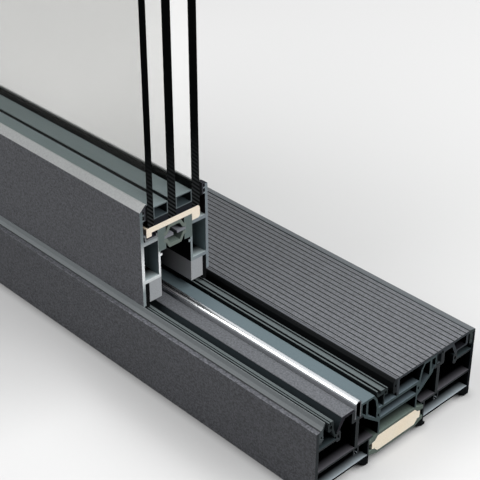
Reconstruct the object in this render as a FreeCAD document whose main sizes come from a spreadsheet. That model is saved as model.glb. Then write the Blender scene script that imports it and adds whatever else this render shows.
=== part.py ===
import FreeCAD, Part
import math
import os
import Sketcher

# Section of a glass sliding patio door: an insulated two-track aluminium threshold with the lower
# end of a sliding sash on its front track. Every piece is an extrusion along X, sawn square at
# both ends, apart from the roller carriages inside the sash.
# X runs along the threshold, Y from the front to the rear and Z up from the floor. The origin is
# on the floor, midway along and midway between the front and rear faces. Lengths are millimetres.

SIZES = {
    # overall
    "threshold_length": 800.0,
    "sash_length": 420.0,
    "frame_depth": 174.0,
    "frame_height": 60.0,
    # frame shells: heights from the floor, drops from the top edge, widths from the outer face
    "face_wall": 2.8,
    "shell_wall": 1.7,
    "base_height": 7.0,
    "core_height": 23.0,
    "shelf_drop": 17.0,
    "shell_width": 56.8,
    "inner_wall": 1.3,
    "inner_wall_lift": 2.0,
    "shelf_overhang": 3.2,
    "web_wall": 3.2,
    "head_wall": 2.0,
    "head_leg": 3.0,
    "wall_lip": 1.2,
    "port_width": 5.6,
    "port_depth": 5.6,
    "port_wall": 1.2,
    "port_mouth": 1.8,
    "eye_width": 4.5,
    "eye_height": 9.0,
    "eye_drop": 2.0,
    "eye_setback": 2.25,
    "eye_bore_width": 2.0,
    "eye_bore_height": 3.6,
    "seal_ledge_reach": 2.6,
    "seal_ledge_drop": 10.8,
    "seal_ledge_wall": 1.4,
    "edge_rounding": 0.5,
    # share of the half width that a bend of a slot or of the rail takes
    "bend_share": 0.9,
    # the front track, from the front wall to the sash and on to the cover
    "sill_gap": 5.65,
    "groove_opening": 17.25,
    "bed_rise": 1.0,
    "rail_seat_depth": 10.5,
    "rail_width": 6.0,
    "rail_height": 15.0,
    "rail_wall": 1.0,
    "rail_play": 0.2,
    "cover_wall": 2.6,
    "cover_slope": 5.35,
    "cover_leg": 2.8,
    "cover_end_gap": 1.2,
    # centre profile, widths from the track's middle
    "plastic_wall": 1.8,
    "rib_wall": 1.2,
    "chamber_reach": 22.3,
    "chamber_top": 13.9,
    "shoulder_drop": 5.5,
    "shoulder_rounding": 2.4,
    "partition_reach": 8.5,
    "partition_wall": 2.2,
    "ladder_inset": 0.8,
    "ladder_wall": 1.6,
    "ladder_depth": 14.0,
    "ladder_cell": 10.0,
    "ladder_plate": 2.3,
    "brace_slope": 0.8,
    "brace_wall": 2.8,
    "eyelet_width": 1.4,
    "eyelet_height": 3.4,
    # foam core and the bars round it
    "bar_wall": 2.2,
    "bar_taper": 0.7,
    "bar_shoulder": 8.7,
    "bar_height": 4.6,
    "bar_end_gap": 6.6,
    "bar_foot_width": 2.0,
    "bar_foot_height": 3.3,
    "foam_chamfer": 3.3,
    "foam_notch": 0.5,
    "foam_tongue": 3.0,
    "foam_tongue_height": 6.0,
    # deck board
    "deck_gap": 7.85,
    "deck_inset": 7.7,
    "deck_wall": 2.2,
    "deck_leg": 2.5,
    "deck_slope_wall": 1.8,
    "deck_heel_inset": 0.8,
    "deck_box_drop": 9.5,
    "deck_box_floor": 1.4,
    "groove_pitch": 4.78,
    "groove_width": 1.0,
    "groove_depth": 0.4,
    "groove_margin": 1.15,
    "insert_wall": 1.0,
    # seals of the threshold
    "seal_gap": 1.35,
    "seal_rounding": 0.4,
    "lip_rise": 5.0,
    "lip_wall": 1.0,
    "crease_inset": 3.65,
    "crease_rise": 3.0,
    "seal_bore_width": 1.4,
    "seal_bore_height": 2.5,
    "seal_bore_rise": 3.6,
    "rear_seal_width": 4.3,
    "rear_seal_top": 1.8,
    "rear_seal_shoulder": 2.6,
    "rear_bore_rise": 6.6,
    "edge_seal_gap": 1.0,
    "edge_seal_root": 3.3,
    "edge_seal_rise": 1.9,
    "base_seal_width": 9.7,
    "base_seal_toe": 2.4,
    # ridged gaskets, heights below their top
    "gasket_rise": 2.0,
    "gasket_wall": 1.2,
    "gasket_width": 5.6,
    "gasket_depth": 8.0,
    "gasket_shoulder": 1.6,
    "gasket_bore_width": 2.6,
    "gasket_bore_height": 3.4,
    "gasket_tail": 1.8,
    "gasket_tail_lift": 1.5,
    "lobe_width": 1.7,
    "lobe_split": 0.9,
    "lobe_split_depth": 2.4,
    "rear_gasket_width": 12.2,
    "ridge_width": 1.5,
    "ridge_groove": 3.3,
    "ridge_groove_depth": 4.0,
    "ridge_web": 5.8,
    "band_width": 4.3,
    "band_drop": 1.5,
    "thin_ridge": 1.1,
    "thin_ridge_drop": 2.4,
    "thin_groove_depth": 3.2,
    "rear_bore_width": 2.0,
    "rear_bore_height": 2.7,
    "running_gap": 0.3,
    # glass unit
    "front_glass": 6.0,
    "front_cavity": 14.0,
    "middle_glass": 8.0,
    "rear_cavity": 16.0,
    "rear_glass": 8.0,
    "glass_height": 247.4,
    "sealant_height": 5.6,
    "spacer_height": 10.3,
    "spacer_wall": 0.9,
    "glazing_front": 1.8,
    "glazing_rear": 2.6,
    "glazing_tail": 0.7,
    # sash: each height stands on the one below it, from the top of the rail
    "skin_wall": 2.7,
    "block_lift": 1.7,
    "front_skin_drop": 2.0,
    "rear_skin_lift": 4.8,
    "skirt_height": 17.8,
    "chamber_floor": 3.0,
    "chamber_height": 30.5,
    "chamber_roof": 3.1,
    "holder_rise": 6.2,
    "holder_height": 19.8,
    "holder_half_gap": 9.3,
    "rebate_height": 16.1,
    "channel_half": 15.3,
    "channel_web": 2.0,
    "hook_height": 2.2,
    "hook_reach": 2.0,
    "thermal_wall": 2.7,
    "thermal_flat": 6.0,
    "thermal_foot": 2.0,
    "thermal_rounding": 0.8,
    "upper_bar_drop": 5.2,
    "lower_bar_rise": 5.9,
    "lower_bar_sag": 0.5,
    "fin_wall": 2.3,
    "fin_gap": 1.8,
    "fin_foot": 1.5,
    "brush_width": 3.5,
    "skirt_play": 0.35,
    # glazing block, its clip and the beads
    "block_height": 4.8,
    "block_reach": 1.6,
    "block_rounding": 3.0,
    "block_edge_rounding": 1.0,
    "block_foot_width": 5.0,
    "block_foot_depth": 3.0,
    "clip_wall": 1.2,
    "clip_hook": 3.6,
    "clip_rise": 1.7,
    "clip_slope": 0.8,
    "fit_play": 0.2,
    "bead_rise": 5.0,
    "bead_wall": 1.2,
    "bead_hook": 1.4,
    "bead_hook_reach": 1.75,
    "bead_hook_drop": 2.5,
    "bead_leg_height": 8.5,
    "bead_nose_gap": 0.5,
    "bead_rounding": 0.4,
    # roller carriages
    "carriage_length": 90.0,
    "carriage_inset": 60.0,
    "carriage_width": 20.0,
    "carriage_plate": 2.5,
    "carriage_lift": 6.5,
    "wheel_radius": 13.0,
    "wheel_width": 9.0,
    "wheel_rim": 1.2,
    "wheel_flange": 1.5,
    "wheel_spacing": 44.0,
    "axle_radius": 3.0,
}

doc = FreeCAD.newDocument("sliding_door_section")
sheet = doc.addObject("Spreadsheet::Sheet", "Sizes")


class Length:
    """A number together with the sheet expression that gives it."""

    def __init__(self, value, text):
        self.value = value
        self.text = text

    def __add__(self, other):
        other = length(other)
        return Length(self.value + other.value, f"({self.text} + {other.text})")

    def __sub__(self, other):
        other = length(other)
        return Length(self.value - other.value, f"({self.text} - {other.text})")

    def __mul__(self, other):
        other = length(other)
        return Length(self.value * other.value, f"({self.text} * {other.text})")

    def __truediv__(self, other):
        other = length(other)
        return Length(self.value / other.value, f"({self.text} / {other.text})")

    def __radd__(self, other):
        return length(other) + self

    def __rsub__(self, other):
        return length(other) - self

    def __rmul__(self, other):
        return length(other) * self

    def __neg__(self):
        return Length(-self.value, f"(0 - {self.text})")


def length(value):
    return value if isinstance(value, Length) else Length(float(value), repr(float(value)))


class Names:
    """The sheet's sizes by name."""


size = Names()
for row, (alias, value) in enumerate(SIZES.items(), start=1):
    sheet.set(f"A{row}", alias)
    sheet.set(f"B{row}", str(value))
    sheet.setAlias(f"B{row}", alias)
    setattr(size, alias, Length(float(value), f"Sizes.{alias}"))
doc.recompute()

nodes = []


# Drawing

def new_body(name):
    body = doc.addObject("PartDesign::Body", name)
    body.Label = name
    nodes.append(body)
    return body


def new_sketch(body, name, role="YZ_Plane"):
    sketch = body.newObject("Sketcher::SketchObject", name)
    plane = [feature for feature in body.Origin.OriginFeatures if feature.Role == role][0]
    sketch.AttachmentSupport = [(plane, "")]
    sketch.MapMode = "FlatFace"
    return sketch


def shift(sketch, distance):
    """Move a sketch along its plane's normal."""
    sketch.AttachmentOffset = FreeCAD.Placement(
        FreeCAD.Vector(0, 0, distance.value), FreeCAD.Rotation()
    )
    sketch.setExpression("AttachmentOffset.Base.z", distance.text)


def bind_point(sketch, geometry, position, y, z):
    for kind, target in (("DistanceX", y), ("DistanceY", z)):
        index = sketch.addConstraint(Sketcher.Constraint(kind, -1, 1, geometry, position, target.value))
        sketch.setExpression(f"Constraints[{index}]", target.text)


def corners(points):
    """Give an outline's points, with each corner (y, z, radius) between square runs cut to an arc."""
    ends = []
    count = len(points)
    for number, point in enumerate(points):
        y, z = length(point[0]), length(point[1])
        if len(point) == 2:
            ends.append((y, z, None))
            continue
        radius = length(point[2])
        for other, bend in ((points[number - 1], radius), (points[(number + 1) % count], None)):
            dy = length(other[0]).value - y.value
            dz = length(other[1]).value - z.value
            if abs(dy) > abs(dz):
                ends.append((y + radius if dy > 0 else y - radius, z, bend))
            else:
                ends.append((y, z + radius if dz > 0 else z - radius, bend))
    return ends


def arc(begin, finish, radius, left):
    """An arc from begin to finish that turns left or right."""
    chord = finish - begin
    normal = FreeCAD.Vector(-chord.y, chord.x, 0).normalize()
    reach = math.sqrt(max(radius ** 2 - (chord.Length / 2) ** 2, 0.0))
    centre = (begin + finish) / 2 + normal * (reach if left else -reach)
    if not left:
        begin, finish = finish, begin
    angles = [math.atan2(point.y - centre.y, point.x - centre.x) for point in (begin, finish)]
    return Part.ArcOfCircle(Part.Circle(centre, FreeCAD.Vector(0, 0, 1), radius), *angles)


def outline(sketch, points):
    """Draw a closed outline of straight edges and arcs, with every corner bound to the sheet."""
    ends = corners(points)
    count = len(ends)
    first = len(sketch.Geometry)
    places = [FreeCAD.Vector(y.value, z.value, 0) for y, z, bend in ends]
    starts = []
    for number, (y, z, radius) in enumerate(ends):
        begin, finish = places[number], places[(number + 1) % count]
        if radius is None:
            sketch.addGeometry(Part.LineSegment(begin, finish), False)
            starts.append((1, 2))
            continue
        before, after = places[number - 1], places[(number + 2) % count]
        left = (begin - before).cross(after - finish).z > 0
        sketch.addGeometry(arc(begin, finish, radius.value, left), False)
        starts.append((1, 2) if left else (2, 1))
    for number in range(count):
        following = (number + 1) % count
        sketch.addConstraint(Sketcher.Constraint(
            "Coincident", first + number, starts[number][1], first + following, starts[following][0]
        ))
    for number, (y, z, radius) in enumerate(ends):
        bind_point(sketch, first + number, starts[number][0], y, z)
        if radius is not None:
            bend = sketch.addConstraint(Sketcher.Constraint("Radius", first + number, radius.value))
            sketch.setExpression(f"Constraints[{bend}]", radius.text)


def circle(sketch, y, z, radius):
    y, z, radius = length(y), length(z), length(radius)
    place = FreeCAD.Vector(y.value, z.value, 0)
    index = sketch.addGeometry(Part.Circle(place, FreeCAD.Vector(0, 0, 1), radius.value), False)
    bind_point(sketch, index, 3, y, z)
    bend = sketch.addConstraint(Sketcher.Constraint("Radius", index, radius.value))
    sketch.setExpression(f"Constraints[{bend}]", radius.text)


def pad(body, sketch, long, name="Pad"):
    feature = body.newObject("PartDesign::Pad", name)
    feature.Profile = sketch
    feature.SideType = "Symmetric"
    feature.Length = long.value
    feature.setExpression("Length", long.text)
    body.Tip = feature
    return feature


def round_edges(body, places, radius):
    """Round the long edges that run along X through the given (y, z) places."""
    doc.recompute()
    base = body.Tip
    names = []
    for number, edge in enumerate(base.Shape.Edges, start=1):
        one, other = edge.Vertexes[0].Point, edge.Vertexes[-1].Point
        if abs(one.x - other.x) < 1:
            continue
        if any(abs(one.y - length(y).value) + abs(one.z - length(z).value) < 0.01 for y, z in places):
            names.append(f"Edge{number}")
    rounding = body.newObject("PartDesign::Fillet", "Rounding")
    rounding.Base = (base, names)
    rounding.Radius = radius.value
    rounding.setExpression("Radius", radius.text)
    body.Tip = rounding


def extrusion(name, points, long, holes=(), bores=()):
    """One extruded piece: its outer outline, closed chambers and round bores."""
    body = new_body(name)
    sketch = new_sketch(body, f"{name}_section")
    for loop in [points, *holes]:
        outline(sketch, loop)
    for y, z, radius in bores:
        circle(sketch, y, z, radius)
    pad(body, sketch, long)
    return body


def box_outline(y0, y1, z0, z1):
    return [(y0, z0), (y1, z0), (y1, z1), (y0, z1)]


def slot_outline(y, z, width, height):
    """An upright slot round the middle (y, z), with bends at its four corners."""
    bend = width / 2 * size.bend_share
    return [(*corner, bend) for corner in box_outline(
        y - width / 2, y + width / 2, z - height / 2, z + height / 2
    )]


def mirrored(half):
    """Close a half outline with its mirror image across the middle plane."""
    return [(-b, z) for b, z in half] + [(b, z) for b, z in reversed(half)]


# Places in the threshold section: levels from the floor, insets from an outer face

half_depth = size.frame_depth / 2
glass_depth = (
    size.front_glass + size.front_cavity + size.middle_glass + size.rear_cavity + size.rear_glass
)
rebate_wall = size.skin_wall + size.bead_hook_reach + size.bead_wall
sash_half = (glass_depth + size.glazing_front + size.glazing_rear) / 2 + rebate_wall
skin_inset = size.face_wall + size.sill_gap
track_inset = skin_inset + sash_half
track_offset = half_depth - track_inset
rail_half = size.rail_width / 2
slot_half = rail_half + size.rail_play

bed_level = size.frame_height + size.bed_rise
rail_seat = bed_level - size.rail_seat_depth
rail_top = rail_seat + size.rail_height
head_floor = rail_seat - size.head_wall
shelf_level = size.frame_height - size.shelf_drop
shelf_top = shelf_level + size.shell_wall
core_shelf_top = size.core_height + size.shell_wall
base_top = size.base_height + size.shell_wall
ledge_level = size.frame_height - size.seal_ledge_drop
seal_floor = ledge_level + size.seal_ledge_wall
gasket_top = bed_level + size.gasket_rise
ladder_top = bed_level - size.ladder_depth
eye_floor = shelf_level - size.eye_drop
eye_top = eye_floor + size.eye_height
eye_level = (eye_floor + eye_top) / 2

cover_top = skin_inset + size.groove_opening
cover_foot = cover_top - size.cover_slope
eye_inset = cover_foot + size.eye_setback
head_leg_far = track_inset - slot_half
head_leg_near = head_leg_far - size.head_leg
head_leg_top = bed_level - size.cover_wall
cover_end = head_leg_far - size.cover_end_gap
lip_end = size.face_wall + size.wall_lip
lip_floor = size.frame_height - size.wall_lip
inner_wall_place = half_depth - size.shell_width
bar_flat = inner_wall_place - size.bar_shoulder
bar_inner_flat = bar_flat - size.bar_taper
core_middle = (size.core_height + size.bar_height) / 2
foam_top = size.core_height - size.bar_wall


def across(side):
    """Give the function that turns an inset from one outer face into Y; side is -1 or 1."""
    if side < 0:
        return lambda inset: length(inset) - half_depth
    return lambda inset: half_depth - length(inset)


# Threshold

def frame_profile(name, side):
    """Outer shell: face wall, base and shelves, the web under the track and its head."""
    at = across(side)
    wall = size.face_wall
    inner_face = size.shell_width
    inner_back = inner_face - size.inner_wall
    shelf_end = inner_face + size.shelf_overhang
    web_near = track_inset - size.web_wall / 2
    web_far = track_inset + size.web_wall / 2
    head_end = track_inset + slot_half + size.plastic_wall
    eye_edge = eye_inset - (size.eye_width + size.eye_bore_width) / 4
    seat_end = wall + size.seal_ledge_reach
    points = [
        (0, 0), (wall, 0), (wall, size.base_height), (inner_back, size.base_height),
        (inner_back, size.inner_wall_lift), (inner_face, size.inner_wall_lift),
        (inner_face, size.core_height), (shelf_end, size.core_height),
        (shelf_end, core_shelf_top), (web_far, core_shelf_top), (web_far, head_floor),
        (head_end, head_floor), (head_end, rail_seat), (head_leg_far, rail_seat),
        (head_leg_far, head_leg_top), (head_leg_near, head_leg_top),
        (head_leg_near, head_floor), (web_near, head_floor), (web_near, core_shelf_top),
        (wall, core_shelf_top), (wall, shelf_level), (eye_edge, shelf_level),
        (eye_edge, shelf_top), (wall, shelf_top), (wall, ledge_level),
        (seat_end, ledge_level), (seat_end, seal_floor), (wall, seal_floor), (wall, lip_floor),
        (lip_end, lip_floor), (lip_end, size.frame_height), (0, size.frame_height),
    ]
    port_left = track_inset - size.port_width / 2
    port_right = track_inset + size.port_width / 2
    port_floor = size.core_height - size.port_depth
    hook_top = port_floor + size.port_wall
    mouth_left = track_inset - size.port_mouth / 2
    mouth_right = track_inset + size.port_mouth / 2
    chamber = [
        (wall, base_top), (inner_back, base_top), (inner_back, size.core_height),
        (port_right, size.core_height), (port_right, port_floor), (mouth_right, port_floor),
        (mouth_right, hook_top), (port_right - size.port_wall, hook_top),
        (port_right - size.port_wall, size.core_height), (port_left + size.port_wall, size.core_height),
        (port_left + size.port_wall, hook_top), (mouth_left, hook_top), (mouth_left, port_floor),
        (port_left, port_floor), (port_left, size.core_height), (wall, size.core_height),
    ]
    body = extrusion(
        name, [(at(u), z) for u, z in points], size.threshold_length,
        [[(at(u), z) for u, z in chamber]],
    )
    eye = new_sketch(body, f"{name}_eye")
    outline(eye, slot_outline(at(eye_inset), eye_level, size.eye_width, size.eye_height))
    outline(eye, slot_outline(at(eye_inset), eye_level, size.eye_bore_width, size.eye_bore_height))
    pad(body, eye, size.threshold_length, "Eye")
    rounded = [(0, size.frame_height), (0, 0), (lip_end, size.frame_height), (head_leg_near, head_floor)]
    round_edges(body, [(at(u), z) for u, z in rounded], size.edge_rounding)


def slope_leg(at, leg):
    """The leg that slopes from a cover down to the eye, from its outer top to its inner top."""
    return [
        (at(cover_top), bed_level),
        (at(cover_foot), eye_top),
        (at(cover_foot + size.cover_leg), eye_top),
        (at(cover_top + leg), head_leg_top),
    ]


def slope_inset(level):
    """Inset of the sloping leg's outer face at a level."""
    return cover_foot + size.cover_slope * (level - eye_top) / (bed_level - eye_top)


def track_cover():
    """Powder-coated cover between the front groove and the running rail."""
    at = across(-1)
    end = at(cover_end)
    points = slope_leg(at, size.cover_leg)
    points += [(end, head_leg_top), (end, bed_level)]
    body = extrusion("track_cover", points, size.threshold_length)
    round_edges(body, [points[0], points[5]], size.edge_rounding)


def running_rail():
    """Stainless rail: a thin inverted U with a rounded top."""
    outer_bend = rail_half * size.bend_share
    inner_bend = (rail_half - size.rail_wall) * size.bend_share
    left, right = -track_offset - rail_half, -track_offset + rail_half
    points = [
        (left, rail_seat), (left + size.rail_wall, rail_seat),
        (left + size.rail_wall, rail_top - size.rail_wall, inner_bend),
        (right - size.rail_wall, rail_top - size.rail_wall, inner_bend),
        (right - size.rail_wall, rail_seat), (right, rail_seat),
        (right, rail_top, outer_bend), (left, rail_top, outer_bend),
    ]
    extrusion("running_rail", points, size.threshold_length)


def centre_profile():
    """Plastic profile that joins the two shells: two chambers, two braces and a ladder."""
    wall = size.plastic_wall
    rib_out = track_offset - slot_half
    rib_in = rib_out - wall
    waist = track_offset - size.chamber_reach
    shoulder = rib_out - size.chamber_top
    neck = (shoulder + waist) / 2 - wall / 2
    wall_out = waist - size.ladder_inset
    wall_in = wall_out - size.ladder_wall
    step_top = ladder_top - size.ladder_cell
    knee = rib_in - wall
    knee_level = head_floor - wall
    shoulder_level = bed_level - size.shoulder_drop
    top_floor = bed_level - wall

    def brace(b):
        return knee_level - (knee - b) * size.brace_slope

    def brace_top(b):
        return brace(b) + size.brace_wall

    half = [
        (wall_in, step_top - size.ladder_plate), (wall_in, size.core_height),
        (wall_out, size.core_height), (wall_out, brace(wall_out)), (knee, knee_level),
        (rib_in - size.rail_play, rail_seat), (rib_out, rail_seat), (rib_out, bed_level),
        (shoulder, bed_level), (neck, shoulder_level), (waist, ladder_top),
    ]
    rib = rib_out - size.rib_wall
    partition = track_offset - size.partition_reach
    partition_back = partition - size.partition_wall
    narrow = [
        (rib, top_floor), (partition, top_floor), (partition, brace_top(partition)),
        (knee, brace_top(knee)), (rib, brace_top(knee) + size.brace_wall),
    ]
    lean = wall + size.rail_play
    wide = [
        (partition_back, top_floor), (shoulder + wall / 2, top_floor), (neck + lean, shoulder_level),
        (waist + lean, ladder_top), (waist + lean, brace_top(waist + lean)),
        (partition_back, brace_top(partition_back)),
    ]
    holes = [[(sign * b, z) for b, z in hole] for hole in (narrow, wide) for sign in (-1, 1)]
    holes.append(box_outline(-wall_in, wall_in, step_top, ladder_top - size.ladder_plate))
    eyelet = (waist + lean + wall_in) / 2
    eyelet_level = step_top + size.eyelet_height * size.bend_share
    holes += [
        slot_outline(sign * eyelet, eyelet_level, size.eyelet_width, size.eyelet_height) for sign in (-1, 1)
    ]
    body = extrusion("centre_profile", mirrored(half), size.threshold_length, holes)
    edges = [(shoulder, bed_level), (shoulder + wall / 2, top_floor)]
    bends = [(neck, shoulder_level), (neck + lean, shoulder_level)]
    for places, radius in ((edges, size.edge_rounding), (bends, size.shoulder_rounding)):
        round_edges(body, [(sign * b, z) for b, z in places for sign in (-1, 1)], radius)


def foam_bars():
    """The two polyamide bars that hold the foam core between the shells."""
    end = inner_wall_place
    foot = end - size.bar_foot_width
    near = core_middle + size.bar_end_gap / 2
    far = near + size.bar_foot_height
    upper = [
        (bar_flat, size.core_height), (foot, far), (end, far), (end, near), (foot, near),
        (bar_inner_flat + size.foam_chamfer, foam_top - size.foam_chamfer), (bar_inner_flat, foam_top),
    ]
    for name, turned in (("upper_foam_bar", False), ("lower_foam_bar", True)):
        half = [(b, core_middle * 2 - z) for b, z in upper] if turned else upper
        body = extrusion(name, mirrored(half), size.threshold_length)
        bends = [half[0], half[-1]]
        round_edges(body, [(sign * b, z) for b, z in bends for sign in (-1, 1)], size.bar_wall / 2)


def foam_core():
    """Foam block between the bars, with chamfered corners and a tongue at each side."""
    floor = core_middle * 2 - foam_top
    flat = bar_inner_flat - size.running_gap
    side = flat + size.foam_chamfer
    root = side - size.foam_notch
    tip = side + size.foam_tongue
    half_tongue = size.foam_tongue_height / 2
    half = [
        (flat, foam_top), (side, foam_top - size.foam_chamfer), (root, core_middle + half_tongue),
        (tip, core_middle + half_tongue), (tip, core_middle - half_tongue),
        (root, core_middle - half_tongue), (side, floor + size.foam_chamfer), (flat, floor),
    ]
    body = extrusion("foam_core", mirrored(half), size.threshold_length)
    bends = [half[0], half[3], half[4], half[7]]
    round_edges(body, [(sign * b, z) for b, z in bends for sign in (-1, 1)], size.edge_rounding)


def deck_board():
    """Ribbed deck over the rear track, on a front leg and on a box with a sloping wall."""
    at = across(1)
    front = sash_half + size.deck_gap - track_offset
    rear = at(size.deck_inset)
    top = bed_level + size.deck_wall
    heel = rear - size.deck_heel_inset
    heel_inside = heel - size.deck_wall
    box_floor = bed_level - size.deck_box_drop
    box_inside = box_floor + size.deck_box_floor
    slope = slope_leg(at, size.deck_slope_wall)
    points = [
        (front, top), (front, ladder_top), (front + size.deck_leg, ladder_top),
        (front + size.deck_leg, bed_level), (at(cover_end), bed_level), (at(cover_end), head_leg_top),
        slope[3], slope[2], slope[1], (at(slope_inset(box_floor)), box_floor), (heel, box_floor),
        (heel, bed_level), (rear, bed_level), (rear, top),
    ]
    box = [
        slope[0], (at(slope_inset(box_inside)), box_inside), (heel_inside, box_inside),
        (heel_inside, bed_level),
    ]
    body = extrusion("deck_board", points, size.threshold_length, [box])
    round_edges(body, [(front, top), (rear, top)], size.edge_rounding)
    groove = new_sketch(body, "groove_section")
    start = front + size.groove_margin
    outline(groove, box_outline(start, start + size.groove_width, top - size.groove_depth, top))
    pocket = body.newObject("PartDesign::Pocket", "Groove")
    pocket.Profile = groove
    pocket.SideType = "Symmetric"
    pocket.Type = "ThroughAll"
    doc.recompute()
    pattern = body.newObject("PartDesign::LinearPattern", "Grooves")
    pattern.Originals = [pocket]
    pattern.Direction = (groove, ["H_Axis"])
    room = rear - start - size.groove_width - size.edge_rounding
    steps = math.floor(room.value / size.groove_pitch.value)
    pattern.Occurrences = steps + 1
    pattern.setExpression("Occurrences", f"floor({room.text} / {size.groove_pitch.text}) + 1")
    pattern.Length = size.groove_pitch.value * steps
    pattern.setExpression("Length", f"{size.groove_pitch.text} * floor({room.text} / {size.groove_pitch.text})")
    body.Tip = pattern


def rail_slot_insert():
    """Hollow plastic strip in the rear rail slot, under the deck."""
    left, right = track_offset - rail_half, track_offset + rail_half
    wall = size.insert_wall
    hole = box_outline(left + wall, right - wall, rail_seat + wall, bed_level - wall)
    extrusion("rail_slot_insert", box_outline(left, right, rail_seat, bed_level), size.threshold_length, [hole])


def front_sill_seal():
    """Rubber seal on the front wall, with a lip that rises to the sash."""
    at = across(-1)
    wall, lip = size.face_wall, size.lip_wall
    tip = skin_inset - size.running_gap
    root = skin_inset - size.seal_gap
    tip_level = bed_level + size.lip_rise
    crease = (wall + size.crease_inset, size.frame_height + size.crease_rise)
    points = [
        (wall, seal_floor), (root - lip, seal_floor), (root, seal_floor + lip),
        (root - lip / 2, size.frame_height), (tip, tip_level - lip), (tip, tip_level),
        (tip - lip / 2, tip_level), crease, (lip_end, size.frame_height), (lip_end, lip_floor),
        (wall, lip_floor),
    ]
    bore = slot_outline(
        (wall + root) / 2, seal_floor + size.seal_bore_rise, size.seal_bore_width, size.seal_bore_height
    )
    body = extrusion(
        "front_sill_seal", [(at(u), z) for u, z in points], size.threshold_length,
        [[(at(u), z, bend) for u, z, bend in bore]],
    )
    round_edges(body, [(at(u), z) for u, z in (points[1], points[2], points[4])], size.seal_rounding)


def rear_sill_seal():
    """Rubber seal on the deck's front leg: a light cap level with the deck over a black face."""
    back = sash_half + size.deck_gap - track_offset
    front = back - size.rear_seal_width
    cap = back - size.rear_seal_top
    top = bed_level + size.deck_wall
    shoulder_level = top - size.rear_seal_shoulder
    fold = (cap + front) / 2
    points = [
        (back, seal_floor), (back, top), (cap, top), (fold, (top + shoulder_level) / 2 + size.seal_rounding),
        (front, shoulder_level), (front, seal_floor + size.lip_wall), (front + size.lip_wall, seal_floor),
    ]
    bore = slot_outline(
        back - size.rear_seal_top, seal_floor + size.rear_bore_rise, size.seal_bore_width,
        size.seal_bore_height,
    )
    body = extrusion("rear_sill_seal", points, size.threshold_length, [bore])
    round_edges(body, [points[2], points[4], points[5], points[6]], size.seal_rounding)


def rear_edge_seal():
    """Rubber strip between the deck and the rear wall, whose top it covers."""
    at = across(1)
    wall = size.face_wall
    root = wall + size.edge_seal_root
    joint = size.deck_inset - size.edge_seal_gap
    top = bed_level + size.deck_wall
    points = [
        (wall, seal_floor), (root, seal_floor), (root, size.frame_height),
        (size.deck_inset, size.frame_height), (size.deck_inset, bed_level), (joint, bed_level + size.lip_wall),
        (joint, top), (0, size.frame_height + size.edge_seal_rise), (0, size.frame_height),
        (lip_end, size.frame_height), (lip_end, lip_floor), (wall, lip_floor),
    ]
    bore = slot_outline(
        (wall + root) / 2, seal_floor + size.seal_bore_rise, size.seal_bore_width, size.seal_bore_height
    )
    body = extrusion(
        "rear_edge_seal", [(at(u), z) for u, z in points], size.threshold_length,
        [[(at(u), z, bend) for u, z, bend in bore]],
    )
    round_edges(body, [(at(u), z) for u, z in (points[1], points[6])], size.seal_rounding)
    round_edges(body, [(at(u), z) for u, z in points[7:8]], size.lip_wall)


def front_track_gasket():
    """Hollow two-lobed gasket in the front groove, with a tail that bears on the eye."""
    at = across(-1)
    wall = size.gasket_wall
    left = skin_inset + size.skin_wall + size.running_gap
    right = left + size.gasket_width
    shoulder = gasket_top - size.gasket_shoulder
    floor = gasket_top - size.gasket_depth
    split = left + size.lobe_width
    split_floor = gasket_top - size.lobe_split_depth
    flank = eye_inset - size.eye_width / 2
    tail_floor = eye_level + size.gasket_tail_lift
    tail_top = tail_floor + size.gasket_tail
    points = [
        (left, shoulder), (left + wall / 2, gasket_top), (split, gasket_top), (split, split_floor),
        (split + size.lobe_split, split_floor), (split + size.lobe_split, gasket_top),
        (right - wall / 2, gasket_top), (right, shoulder), (right, floor + wall),
        (flank - wall, tail_top + wall), (flank, tail_top), (flank, tail_floor),
        (flank - size.gasket_tail, tail_floor), (right - size.gasket_tail, floor), (left + wall, floor),
        (left, floor + wall),
    ]
    bore = slot_outline(
        (left + right) / 2, (split_floor + floor) / 2, size.gasket_bore_width, size.gasket_bore_height
    )
    body = extrusion(
        "front_track_gasket", [(at(u), z) for u, z in points], size.threshold_length,
        [[(at(u), z, bend) for u, z, bend in bore]],
    )
    bends = [points[0], points[7], points[8], points[14], points[15]]
    round_edges(body, [(at(u), z) for u, z in bends], size.seal_rounding)


def rear_track_gasket():
    """Ridged gasket behind the rail, on the ladder, under the sash's rear brush."""
    wall = size.gasket_wall
    left = size.chamber_reach - track_offset - size.gasket_tail - size.ridge_width
    right = left + size.rear_gasket_width
    ridge = left + size.ridge_width
    groove_floor = gasket_top - size.ridge_groove_depth
    band = ridge + size.ridge_groove
    band_end = band + size.band_width
    band_top = gasket_top - size.band_drop
    thin_floor = gasket_top - size.thin_groove_depth
    thin_top = gasket_top - size.thin_ridge_drop
    floor = gasket_top - size.gasket_depth
    web_floor = gasket_top - size.ridge_web
    leg = right - size.gasket_width + wall
    points = [
        (left, gasket_top), (ridge, gasket_top), (ridge, groove_floor), (band, groove_floor),
        (band, band_top), (band_end, band_top - size.running_gap), (band_end, thin_floor),
        (right - size.thin_ridge, thin_floor), (right - size.thin_ridge, thin_top), (right, thin_top),
        (right, floor), (leg + wall, floor), (leg + wall, ladder_top), (leg, ladder_top),
        (leg, web_floor), (left + size.gasket_tail, web_floor), (left + wall / 2, groove_floor),
    ]
    bore_middle = right - wall - size.rear_bore_width / 2
    bore_level = (thin_floor + floor) / 2
    bore = slot_outline(bore_middle, bore_level, size.rear_bore_width, size.rear_bore_height)
    body = extrusion("rear_track_gasket", points, size.threshold_length, [bore])
    round_edges(body, [points[0], points[1], points[4], points[5], points[10]], size.seal_rounding)


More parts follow.
